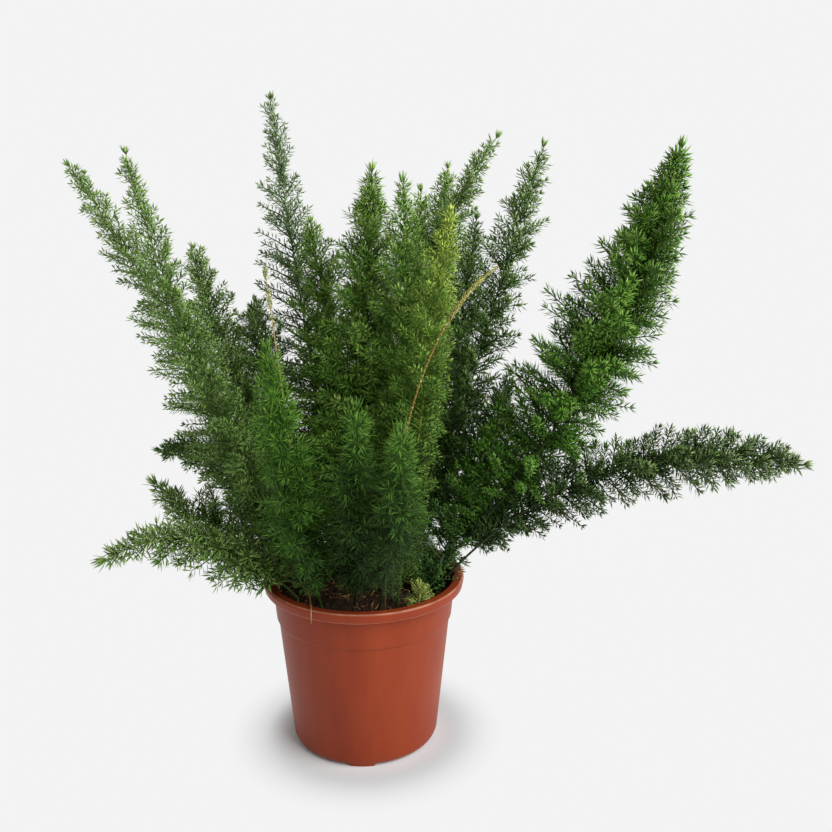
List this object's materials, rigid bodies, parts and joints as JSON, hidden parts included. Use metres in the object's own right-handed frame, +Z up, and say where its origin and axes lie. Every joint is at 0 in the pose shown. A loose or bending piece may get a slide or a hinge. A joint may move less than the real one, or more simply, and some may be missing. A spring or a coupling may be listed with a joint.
{
  "type": "potted foxtail fern",
  "caption": "Potted foxtail fern: upright and arching plumes of fine needle foliage in a round tapered nursery pot that rests on its base.",
  "frame": {"origin": "centre of the pot's underside, in the plane it stands on", "axes": "+Z up along the pot's axis, +X to the right and +Y away as the plant is seen from its front, where the long low plume points to +X"},
  "size_m": [0.4948, 0.2873, 0.45],
  "materials": {
    "plume_back_centre": "waxy green needles on thin stems",
    "plume_back_left": "waxy green needles on thin stems",
    "plume_back_right": "waxy green needles on thin stems",
    "plume_behind_left": "waxy green needles on thin stems",
    "plume_behind_tallest": "waxy green needles on thin stems",
    "plume_bright_centre": "waxy green needles on thin stems",
    "plume_bright_front": "waxy green needles on thin stems",
    "plume_centre_back": "waxy green needles on thin stems",
    "plume_centre_left": "waxy green needles on thin stems",
    "plume_centre_right": "waxy green needles on thin stems",
    "plume_far_left": "waxy green needles on thin stems",
    "plume_front_left": "waxy green needles on thin stems",
    "plume_front_right": "waxy green needles on thin stems",
    "plume_great_right": "waxy green needles on thin stems",
    "plume_high_back": "waxy green needles on thin stems",
    "plume_left_shaded": "waxy green needles on thin stems",
    "plume_left_stub": "waxy green needles on thin stems",
    "plume_low_left": "waxy green needles on thin stems",
    "plume_low_right": "waxy green needles on thin stems",
    "plume_right_feathery": "waxy green needles on thin stems",
    "plume_right_shaded": "waxy green needles on thin stems",
    "plume_short_left": "waxy green needles on thin stems",
    "plume_tallest": "waxy green needles on thin stems",
    "plume_upper_left": "waxy green needles on thin stems",
    "plume_upper_right": "waxy green needles on thin stems",
    "pot": "moulded terracotta-coloured plastic, satin",
    "potting_soil": "damp peat, matt",
    "sprout": "fresh pale green",
    "young_shoot_centre": "young green-brown stem",
    "young_shoot_left": "young green-brown stem"
  },
  "bodies": {
    "root": {"plume_back_centre": "plume_back_centre", "plume_back_left": "plume_back_left", "plume_back_right": "plume_back_right", "plume_behind_left": "plume_behind_left", "plume_behind_tallest": "plume_behind_tallest", "plume_bright_centre": "plume_bright_centre", "plume_bright_front": "plume_bright_front", "plume_centre_back": "plume_centre_back", "plume_centre_left": "plume_centre_left", "plume_centre_right": "plume_centre_right", "plume_far_left": "plume_far_left", "plume_front_left": "plume_front_left", "plume_front_right": "plume_front_right", "plume_great_right": "plume_great_right", "plume_high_back": "plume_high_back", "plume_left_shaded": "plume_left_shaded", "plume_left_stub": "plume_left_stub", "plume_low_left": "plume_low_left", "plume_low_right": "plume_low_right", "plume_right_feathery": "plume_right_feathery", "plume_right_shaded": "plume_right_shaded", "plume_short_left": "plume_short_left", "plume_tallest": "plume_tallest", "plume_upper_left": "plume_upper_left", "plume_upper_right": "plume_upper_right", "pot": "pot", "potting_soil": "potting_soil", "sprout": "sprout", "young_shoot_centre": "young_shoot_centre", "young_shoot_left": "young_shoot_left"}
  },
  "joints": []
}
